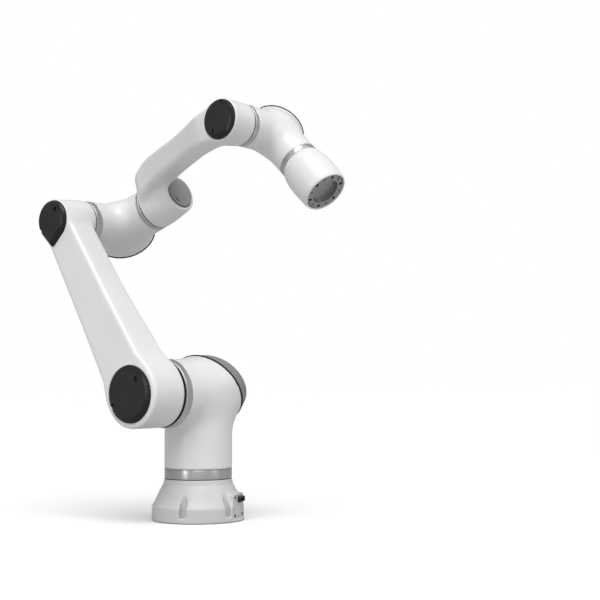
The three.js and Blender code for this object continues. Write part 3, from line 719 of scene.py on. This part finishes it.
def teardrop_outline(radius, tip, angle, count=96):
    def outline(inset):
        r, t = radius - inset, tip - inset * 1.3
        reach = math.acos(r / t)
        arc = np.linspace(angle + reach, angle - reach + 2 * math.pi, count - 7)
        points = [(r * math.cos(a), r * math.sin(a)) for a in arc]
        tip_point = np.array([t * math.cos(angle), t * math.sin(angle)])
        last, first = np.array(points[-1]), np.array(points[0])
        near = [last + (tip_point - last) * f for f in (0.4, 0.8)]
        far = [first + (tip_point - first) * f for f in (0.8, 0.4)]
        bend = [0.25 * near[1] + 0.5 * tip_point + 0.25 * far[0]]
        side = [0.56 * near[1] + 0.38 * tip_point + 0.06 * far[0],
                0.06 * near[1] + 0.38 * tip_point + 0.56 * far[0]]
        return points + [tuple(p) for p in [near[0], near[1], side[0], bend[0], side[1], far[0], far[1]]]
    return outline


def cap(name, node, outline, seat, place, body, proud, recess, notches, bevel=CAP_BEVEL,
        materials=(DARK, DARK_GLOSS_PAINTED_SHADE)):
    """A moulded cap: a straight edge in its seat, a broad glossy bevel up to a textured face, a screw recess,
    and lever notches in its edge. Its proud side wall and bevel take the second material; by default that one is
    glossier and also darker than the face: painted shade."""
    top = seat + CAP_SEAT + proud
    base = seat + GAP
    rim = top - proud + min(CAP_EDGE, proud * 0.5)
    rise = top - rim
    levels = [(0.6, base), (0.1, base + 0.5), (0.1, rim - 0.4), (0.5, rim + rise * 0.12),
              (bevel * 0.3, rim + rise * 0.42), (bevel * 0.85, rim + rise * 0.93), (bevel, top - rise * 0.02),
              (bevel + 0.8, top)]
    piece = outline_loft(name, outline, levels, place, body, list(materials), [0, 0, 1, 1, 1, 1, 0])
    cutters = []
    if recess:
        radius, x, y = recess
        cutters.append((*peg(radius, top - 3.2, top + 2), place @ move(x, y, 0)))
    for x, y, angle, width, depth, deep in notches:
        notch = place @ move(x, y, 0) @ turn("Z", angle) @ move(0, 0, top)
        cutters.append((*brick(depth, width, 2 * deep), notch))
    carve(piece, cutters)
    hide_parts(node)
    if recess:
        screw(f"{name}_screw", radius * 0.62, top - 3.1, place @ move(recess[1], recess[2], 0), body)


SCREW_SIDES = 24


def screw(name, radius, foot, place, body):
    """A black socket screw: a domed head with a hexagon socket."""
    hexagon = [(radius * 0.5 * math.cos(a), radius * 0.5 * math.sin(a)) for a in np.arange(6) * math.pi / 3]
    rings = []
    for r, h in ((1.0, 0.0), (1.0, 1.0), (0.93, 1.3), (0.75, 1.45)):
        rings.append([(radius * r * math.cos(a), radius * r * math.sin(a), foot + h)
                      for a in np.arange(SCREW_SIDES) * math.pi / 12])

    def spread(height):
        points = []
        for i in range(SCREW_SIDES):
            share = i % 4 / 4
            here, after = np.array(hexagon[i // 4]), np.array(hexagon[(i // 4 + 1) % 6])
            points.append((*(here * (1 - share) + after * share), height))
        return points

    rings += [spread(foot + 1.45), spread(foot + 0.5)]
    vertices = [p for ring in rings for p in ring]
    faces = [tuple(reversed(range(SCREW_SIDES))),
             tuple(len(vertices) - SCREW_SIDES + i for i in range(SCREW_SIDES)),
             *bands(len(rings), SCREW_SIDES)]
    piece = add(name, vertices, faces, place, body, SCREW)
    face_out(piece)


# In the outboard frame the first axis is the arm's +X and the second is its +Z.
ARM_OUT = ARM_FRAME @ OUTBOARD


def polar(radius, degrees):
    return radius * math.cos(math.radians(degrees)), radius * math.sin(math.radians(degrees))


shoulder_seat = ARM_FACE + 1 - CAP_SEAT
shoulder_outline = circle_outline(SHOULDER_CAP_RADIUS)
elbow_outline = teardrop_outline(ELBOW_CAP_RADIUS, TEARDROP_TIP, TEARDROP_ANGLE)
ELBOW_CAP_FRAME = ARM_OUT @ move(0, UPPER_ARM_LENGTH, 0)
carve(upper_arm, [(*seat_cutter(shoulder_outline, shoulder_seat, ARM_FACE + 20), ARM_OUT),
                  (*seat_cutter(elbow_outline, ARM_FACE - CAP_SEAT, ARM_FACE + 20), ELBOW_CAP_FRAME)])
cap("shoulder_cap_moulding", "shoulder_cap", shoulder_outline, shoulder_seat, ARM_OUT, "upper_arm", 6,
    (5.2, *polar(34, 20)), [(*polar(46, 178), 178, 9, 15, 11)])
cap("elbow_cap_moulding", "elbow_cap", elbow_outline, ARM_FACE - CAP_SEAT, ELBOW_CAP_FRAME, "upper_arm", 8,
    (4.4, *polar(24, 20)), [(*polar(33, 179), 179, 9, 13, 13)])

# ---- Forearm ----------------------------------------------------------------------------------------

CAN_START = ELBOW["face_b"] + ELBOW["ring_b"] + RUNNING_GAP
CAN_END = 165
CAN_CAP_RADIUS = 30.8
WRIST_BOSS = (37.3, WRIST["face_a"] + WRIST["ring_a"] + RUNNING_GAP)
WRIST_BOSS_OUTER = 146.5
WRIST_CAP_RADIUS = 34.8
FOREARM_BAR = [
    # z, x, y, half height, half depth, corner radius
    (106, -29, -30, 27, 25, 15), (150, -37, -40, 27, 26, 11), (205, -34, -58, 24.5, 25.5, 9),
    (260, -26, -78, 23, 25, 8.5), (312, -18, -99, 24, 25, 8.5), (365, -8, -120, 29, 24, 8.5),
    (FOREARM_LENGTH, 0, -121.3, 33, 23, 8.5),
]


def forearm_field(points):
    x, y, z = points[..., 0], points[..., 1], points[..., 2]
    cx, cy, half_x, half_y, corner_radius = through(FOREARM_BAR, z)
    slope = np.gradient(cy, points[0, 0, :, 2], axis=2)
    lean = 1 / np.sqrt(1 + slope ** 2)
    bar = rounded_box(x - cx, y - cy, half_x, half_y, corner_radius) * lean
    bar = rounded_pair(bar, np.maximum(99 - z, z - FOREARM_LENGTH - 2), 22)
    radial = np.hypot(x, y)
    r = ELBOW["neck"]
    taper = r - np.clip((z - CAN_START - 16) / (CAN_END - CAN_START - 16), 0, 1) ** 1.3 * 5.6
    can = rounded_pair(radial - taper, np.abs(z - (CAN_START + CAN_END) / 2) - (CAN_END - CAN_START) / 2, 4)
    can = np.where(z < CAN_START + 8, np.maximum(radial - taper, CAN_START - z), can)
    boss_radial = np.hypot(x, z - FOREARM_LENGTH)
    boss = drum(boss_radial, -y, WRIST_BOSS[0], WRIST_BOSS[1], WRIST_BOSS_OUTER, 2.5)
    outside = smooth_min(smooth_min(bar, can, 16), boss, 14)
    outside = np.maximum(outside, CAN_START - z)
    outside = rounded_pair(outside, -y - WRIST_BOSS_OUTER, 2.5)
    inner = np.maximum(outside, np.where(boss_radial < WRIST_BOSS[0] + 10, y + WRIST_BOSS[1], -9.0))
    room = drum(radial, z, r - WALL - 4.5, CAN_START + WALL, CAN_END - 11)
    room = np.minimum(room, drum(radial, z, r - 15, CAN_START - 10, CAN_START + WALL + 1))
    room = np.minimum(room, drum(radial, z, 25, CAN_END - 12, CAN_END + 5))
    bar_room = rounded_box(x - cx, y - cy, half_x - WALL, half_y - WALL, 8) * lean
    bar_room = np.maximum(bar_room, np.maximum(116 - z, z - FOREARM_LENGTH + 8))
    seat = WRIST_BOSS_OUTER - CAP_SEAT
    room = np.minimum(np.minimum(room, bar_room), boss_room(boss_radial, -y, WRIST_BOSS, seat, 24))
    return np.maximum(inner, -room)


forearm = casting("forearm_casting", forearm_field, (-70, -152, 92), (50, 50, 456), CASTING_STEP,
                  FOREARM_FRAME, "forearm", WHITE, "forearm")
WRIST_CAP_FRAME = FOREARM_FRAME @ OUTBOARD @ move(0, FOREARM_LENGTH, 0)
end_outline = circle_outline(CAN_CAP_RADIUS)
wrist_outline = circle_outline(WRIST_CAP_RADIUS)
wrist_seat = WRIST_BOSS_OUTER - CAP_SEAT
carve(forearm, [(*seat_cutter(end_outline, CAN_END - CAP_SEAT, CAN_END + 20), FOREARM_FRAME),
                (*seat_cutter(wrist_outline, wrist_seat, WRIST_BOSS_OUTER + 20), WRIST_CAP_FRAME)])
cap("forearm_end_moulding", "forearm_end_cap", circle_outline(CAN_CAP_RADIUS - 1.2), CAN_END - CAP_SEAT,
    FOREARM_FRAME, "forearm", 3, None, [(*polar(21.5, -38), -38, 9, 3.4, 3)], 1, (GREY, GREY))
# A black rubber ring at the foot of the forearm's end cap: painted shadow, a dark band standing in for the shade
# in the gap round the cap.
end_shadow_ring = closed_profile([(CAN_CAP_RADIUS - 0.9, CAN_END - 2.5), (CAN_CAP_RADIUS + 0.1, CAN_END - 2.5),
                           (CAN_CAP_RADIUS + 0.1, CAN_END + 0.2), (CAN_CAP_RADIUS - 0.9, CAN_END + 0.2)], 0.2, 2)
turned("forearm_end_painted_shadow_ring", end_shadow_ring, FOREARM_FRAME, "forearm", RUBBER, 96)
cap("wrist_cap_moulding", "wrist_cap", wrist_outline, wrist_seat, WRIST_CAP_FRAME, "forearm", 6,
    (3.6, *polar(22, 316)), [(*polar(33, 153), 153, 9, 6, 9)])

# ---- Tool end ---------------------------------------------------------------------------------------

FLANGE_START = WRIST["face_b"] + WRIST["ring_b"] + RUNNING_GAP
FLANGE_RADIUS = 36.6
FLANGE_HOLES = 12
HOLE_CIRCLE = 31.3
RECESS_DEPTH = 9


def tool_end():
    start, end = FLANGE_START, TOOL_FACE + 1.5
    outside = soften([
        (22, start), (36.6, start), (37.0, start + 0.6), (40, start + 10), (42.4, start + 25), (43, start + 42),
        (42.3, end - 12), (40.8, end - 3), (39.3, end),
        (FLANGE_RADIUS + GAP, end), (FLANGE_RADIUS + GAP, end - 14),
        (36, end - 20), (38, start + 42), (32, start + WALL), (22, start + WALL)], 2.2, 4)
    piece = turned("flange_can", outside, BEND_FRAME, "tool", WHITE, 128, True)
    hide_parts("flange_housing")
    face = TOOL_FACE
    profile = soften([
        (0, face - 20), (24, face - 20), (24, face - 13),
        (FLANGE_RADIUS, face - 13), (FLANGE_RADIUS, face - 3.2),
        (FLANGE_RADIUS - 1.3, face - 3), (FLANGE_RADIUS - 1.3, face),
        (25, face), (25, face - RECESS_DEPTH), (0, face - RECESS_DEPTH)],
        0.5, 3)
    flange = turned("tool_flange_plate", profile, BEND_FRAME, "tool", ANODISED, 120, False)
    cutters = []
    for i in range(FLANGE_HOLES):
        radius = 3 if i % 2 == 0 else 1.8
        place = BEND_FRAME @ turn("Z", i * 30 + 15) @ move(HOLE_CIRCLE, 0, 0)
        cutters.append((*peg(radius, face - 9, face + 2), place))
    carve(flange, cutters)
    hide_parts("tool_flange")
    groove = closed_profile([(FLANGE_RADIUS - 1.2, face - 2.9), (FLANGE_RADIUS + 0.2, face - 2.9),
                             (FLANGE_RADIUS + 0.2, face - 1.9), (FLANGE_RADIUS - 1.2, face - 1.9)], 0.2, 2)
    turned("flange_seal", groove, BEND_FRAME, "tool", RUBBER, 96)


tool_end()

# ---- Base -------------------------------------------------------------------------------------------

BASE_TOP = SHOULDER_HEIGHT - SHOULDER["face_a"] - SHOULDER["ring_a"] - RUNNING_GAP
PANEL_FACE = 78.5
PANEL_MIDDLE = 27
BOLT_POCKETS = 6
POCKET_TURN = 30
POCKET_CIRCLE = 78.5
POCKET_HALF_WIDTH = 6.3
POCKET_FLOOR = 10
POCKET_TOP = 56
BOLT_HOLE_RADIUS = 3.3
CONNECTOR_HEIGHT = 39
CONNECTOR_OFFSET = 9
BASE_PROFILE = [(-1, 83.5), (1.5, 85), (26.5, 85), (27.6, 84.1), (40, 77.2), (54, 71), (BASE_TOP - 9, 64.2),
                (BASE_TOP, 62.4), (BASE_TOP + 30, 62.4)]


def base_field(points):
    x, y, z = points[..., 0], points[..., 1], points[..., 2]
    profile = np.array(BASE_PROFILE)
    smoothed = sum(np.interp(z + d, profile[:, 0], profile[:, 1]) for d in (-1.2, -0.4, 0.4, 1.2)) / 4
    radius = np.where(z < 3, np.interp(z, profile[:, 0], profile[:, 1]), smoothed)
    radial = np.hypot(x, y)
    slope = 0.87
    outside = (radial - radius) * slope
    pad = rounded_box(x - 66, y, PANEL_FACE - 66, 29, 2)
    pad = rounded_pair(pad, np.abs(z - PANEL_MIDDLE) - 23, 2)
    outside = smooth_min(outside, pad, 4)
    cut_face = np.maximum(PANEL_FACE - x, np.maximum(np.abs(y) - 33, np.abs(z - PANEL_MIDDLE) - 23))
    outside = smooth_max(outside, -cut_face, 2)
    outside = rounded_pair(outside, z - BASE_TOP, 0.8)
    outside = rounded_pair(outside, -z, 0.6)
    for i in range(BOLT_POCKETS):
        angle = math.radians(POCKET_TURN + i * 360 / BOLT_POCKETS)
        u = x * math.cos(angle) + y * math.sin(angle)
        v = -x * math.sin(angle) + y * math.cos(angle)
        from_bolt = np.hypot(u - POCKET_CIRCLE, v)
        across = np.where(u < POCKET_CIRCLE, from_bolt, np.abs(v)) - POCKET_HALF_WIDTH
        pocket = np.maximum(across, np.maximum(POCKET_FLOOR - z, z - POCKET_TOP))
        outside = smooth_max(outside, -pocket, 2.0)
        outside = np.maximum(outside, -np.maximum(from_bolt - BOLT_HOLE_RADIUS, z - 20))
    recess = np.maximum(np.abs(x - PANEL_FACE) - 3, np.maximum(np.abs(y) - 25, np.abs(z - PANEL_MIDDLE) - 19))
    wireway = np.maximum(np.abs(y - CONNECTOR_OFFSET) - 16, np.abs(z - CONNECTOR_HEIGHT) - 7)
    wireway = np.maximum(wireway, np.abs(x - 61) - 25)
    rooms = np.minimum(np.minimum(radial - 55, recess), wireway)
    return np.maximum(outside, -rooms)


casting("base_casting", base_field, (-89, -89, -3), (89, 89, BASE_TOP + 4), BASE_STEP,
        BASE_FRAME, "base", BASE_PAINT, "base_housing")


def base_details():
    """The inlet with its contact block and pins, and the panel's screws."""
    place = BASE_FRAME @ move(0, CONNECTOR_OFFSET, CONNECTOR_HEIGHT)
    def box_outline(half_w, half_h, corner_radius):
        def outline(inset):
            w, h, r = half_w - inset, half_h - inset, max(corner_radius - inset, 0.2)
            points = []
            for quarter, (sx, sy) in enumerate(((1, 1), (-1, 1), (-1, -1), (1, -1))):
                for i in range(5):
                    a = (quarter + i / 4) * math.pi / 2
                    points.append((sx * (w - r) + r * math.cos(a), sy * (h - r) + r * math.sin(a)))
            return points
        return outline
    facing = place @ turn("Z", 90) @ turn("X", 90)
    shell = outline_loft("controller_inlet", box_outline(14, 5, 1.4),
                         [(0.5, 69.5), (0, 70), (0, 82.8), (0.7, 83.5), (2.5, 83.5), (2.5, 74.5)],
                         facing, "base", DARK)
    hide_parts("cable_connector")
    for row in range(2):
        for column in range(6):
            x, y = (column - 2.5) * 3.2, (row - 0.5) * 2.6
            profile = [(0, 74), (0.55, 74), (0.55, 79.6), (0.3, 80.2), (0, 80.2)]
            turned(f"inlet_pin_{row * 6 + column + 1}", profile, facing @ move(x, y, 0), "base", PIN,
                   12, False)
    panel = BASE_FRAME @ move(0, 0, PANEL_MIDDLE) @ turn("Z", 90) @ turn("X", 90)
    for i, (x, y) in enumerate(((-21, -15), (21, -15), (-21, 17), (21, 17))):
        screw(f"panel_screw_{i + 1}", 2.2, 78.3, panel @ move(x, y - 1, 0), "base")


base_details()

# ---- Carried-over nodes -----------------------------------------------------------------------------

CARRIED = {"base_plate": ANODISED, "connector_panel": BASE_PAINT, "bearing": STEEL, "strain_wave_gear": STEEL,
           "motor": MOTOR, "brake_and_encoder": GREY}
for node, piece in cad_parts.items():
    for ending, material in CARRIED.items():
        if node.endswith(ending):
            piece.data.materials.clear()
            piece.data.materials.append(material)

# ---- Stage, light and camera ------------------------------------------------------------------------

FLOOR_GIVEN, FLOOR_SHOWN = 0.42, 0.93
ROOM_DARK, ROOM_LIGHT, ROOM_SHOWN = 0.30, 0.68, 1.0
ROOM_LIGHT_FROM = (0.62, -0.35, 0.70)
KEY_STRENGTH, KEY_ANGLE, KEY_TOWARDS = 2.05, 44, (-0.30, 0.42, -0.86)
LENS, SENSOR_WIDTH = 82.3, 36
CAMERA_AT, CAMERA_TOWARDS = (1.7272, -1.8830, 0.2772), (-0.6191, 0.7837, 0.0502)


def stage():
    """A pale floor that gives back less light than it shows."""
    material = bpy.data.materials.new("pale_floor")
    material.use_nodes = True
    tree = material.node_tree
    shader = tree.nodes["Principled BSDF"]
    seen = tree.nodes.new("ShaderNodeLightPath")
    tone = tree.nodes.new("ShaderNodeMapRange")
    tone.inputs["To Min"].default_value = FLOOR_GIVEN
    tone.inputs["To Max"].default_value = FLOOR_SHOWN
    tree.links.new(seen.outputs["Is Camera Ray"], tone.inputs["Value"])
    tree.links.new(tone.outputs["Result"], shader.inputs["Base Color"])
    shader.inputs["Roughness"].default_value = 0.7
    bpy.ops.mesh.primitive_plane_add(size=60, location=(0, 0, -0.0005))
    floor = bpy.context.object
    floor.name = "floor"
    floor.data.materials.append(material)


def softbox(name, location, target, size, power, tall=None):
    light = bpy.data.lights.new(name, "AREA")
    light.energy = power
    light.shape = "RECTANGLE"
    light.size = size
    light.size_y = tall or size
    lamp = bpy.data.objects.new(name, light)
    lamp.location = location
    lamp.rotation_euler = (Vector(target) - Vector(location)).to_track_quat("-Z", "Y").to_euler()
    bpy.context.scene.collection.objects.link(lamp)


def studio():
    """A grey room, lighter above and on the right, with one broad light high in front on the right."""
    world = bpy.data.worlds.new("studio")
    world.use_nodes = True
    tree = world.node_tree
    background = tree.nodes["Background"]
    background.inputs["Color"].default_value = (1, 1, 1, 1)
    where = tree.nodes.new("ShaderNodeTexCoord")
    facing = tree.nodes.new("ShaderNodeVectorMath")
    facing.operation = "DOT_PRODUCT"
    facing.inputs[1].default_value = ROOM_LIGHT_FROM
    tree.links.new(where.outputs["Generated"], facing.inputs[0])
    level = tree.nodes.new("ShaderNodeMapRange")
    level.interpolation_type = "SMOOTHSTEP"
    level.inputs["From Min"].default_value = -0.7
    level.inputs["From Max"].default_value = 0.8
    level.inputs["To Min"].default_value = ROOM_DARK
    level.inputs["To Max"].default_value = ROOM_LIGHT
    tree.links.new(facing.outputs["Value"], level.inputs["Value"])
    seen = tree.nodes.new("ShaderNodeLightPath")
    shown = tree.nodes.new("ShaderNodeMix")
    tree.links.new(seen.outputs["Is Camera Ray"], shown.inputs[0])
    tree.links.new(level.outputs["Result"], shown.inputs[2])
    shown.inputs[3].default_value = ROOM_SHOWN
    tree.links.new(shown.outputs[0], background.inputs["Strength"])
    bpy.context.scene.world = world
    light = bpy.data.lights.new("key", "SUN")
    light.energy = KEY_STRENGTH
    light.angle = math.radians(KEY_ANGLE)
    lamp = bpy.data.objects.new("key", light)
    lamp.rotation_euler = Vector(KEY_TOWARDS).to_track_quat("-Z", "Y").to_euler()
    bpy.context.scene.collection.objects.link(lamp)
    softbox("strip_front", (-0.1, -2.6, 0.6), (0, 0, 0.3), 0.6, 10, 1.9)
    softbox("strip_right", (2.2, 0.5, 1.5), (0, 0, 0.4), 0.35, 8, 1.8)
    bpy.context.scene.view_settings.view_transform = "Standard"


def camera():
    data = bpy.data.cameras.new("camera")
    data.lens = LENS
    data.sensor_width = SENSOR_WIDTH
    eye = bpy.data.objects.new("camera", data)
    eye.location = CAMERA_AT
    eye.rotation_euler = Vector(CAMERA_TOWARDS).to_track_quat("-Z", "Y").to_euler()
    bpy.context.scene.collection.objects.link(eye)
    bpy.context.scene.camera = eye


stage()
studio()
camera()
